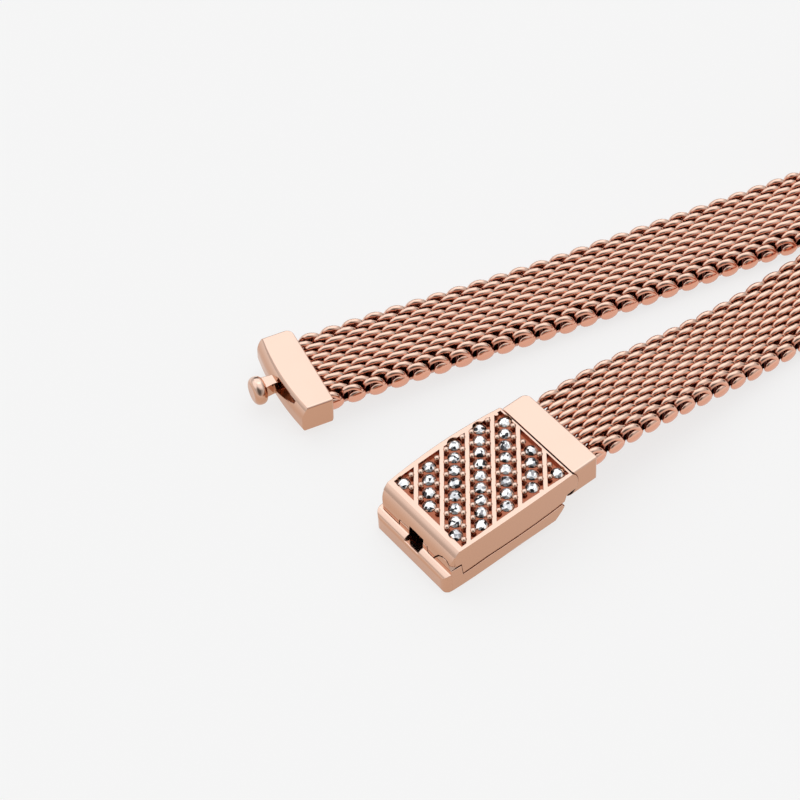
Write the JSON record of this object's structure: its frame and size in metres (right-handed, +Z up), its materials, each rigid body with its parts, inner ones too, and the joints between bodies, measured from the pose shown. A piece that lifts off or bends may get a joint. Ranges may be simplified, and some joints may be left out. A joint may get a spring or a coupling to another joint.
{
  "type": "mesh bracelet",
  "caption": "Woven metal mesh bracelet lying open, with a hinged stone-set box clasp at one end and a stud that locks into it at the other.",
  "frame": {"origin": "centre of the flat underside of the clasp's lower shell, on the table", "axes": "+X along the clasp towards the band, +Y to the stud end's side, +Z up from the table"},
  "size_m": [0.0888, 0.035, 0.009],
  "materials": {
    "polished_metal": "polished rose gold",
    "woven_metal": "polished rose gold wire",
    "pin_metal": "satin",
    "clear_stone": "clear faceted stone"
  },
  "bodies": {
    "bracelet": {"mesh_band": "woven_metal", "stud_end": "polished_metal", "clasp_base": "polished_metal", "hinge_pin": "pin_metal"},
    "lid": {"clasp_lid": "polished_metal", "stone_01": "clear_stone", "stone_02": "clear_stone", "stone_03": "clear_stone", "stone_04": "clear_stone", "stone_05": "clear_stone", "stone_06": "clear_stone", "stone_07": "clear_stone", "stone_08": "clear_stone", "stone_09": "clear_stone", "stone_10": "clear_stone", "stone_11": "clear_stone", "stone_12": "clear_stone", "stone_13": "clear_stone", "stone_14": "clear_stone", "stone_15": "clear_stone", "stone_16": "clear_stone", "stone_17": "clear_stone", "stone_18": "clear_stone", "stone_19": "clear_stone", "stone_20": "clear_stone", "stone_21": "clear_stone", "stone_22": "clear_stone", "stone_23": "clear_stone", "stone_24": "clear_stone", "stone_25": "clear_stone", "stone_26": "clear_stone", "stone_27": "clear_stone", "stone_28": "clear_stone", "stone_29": "clear_stone", "stone_30": "clear_stone", "stone_31": "clear_stone", "stone_32": "clear_stone", "stone_33": "clear_stone", "stone_34": "clear_stone", "stone_35": "clear_stone"}
  },
  "joints": [
    {"name": "lid_hinge", "type": "hinge", "parent": "bracelet", "child": "lid", "pos_m": [0.00731, 0, 0.00417], "axis": [0, 1, 0], "range_deg": [0, 50]}
  ]
}
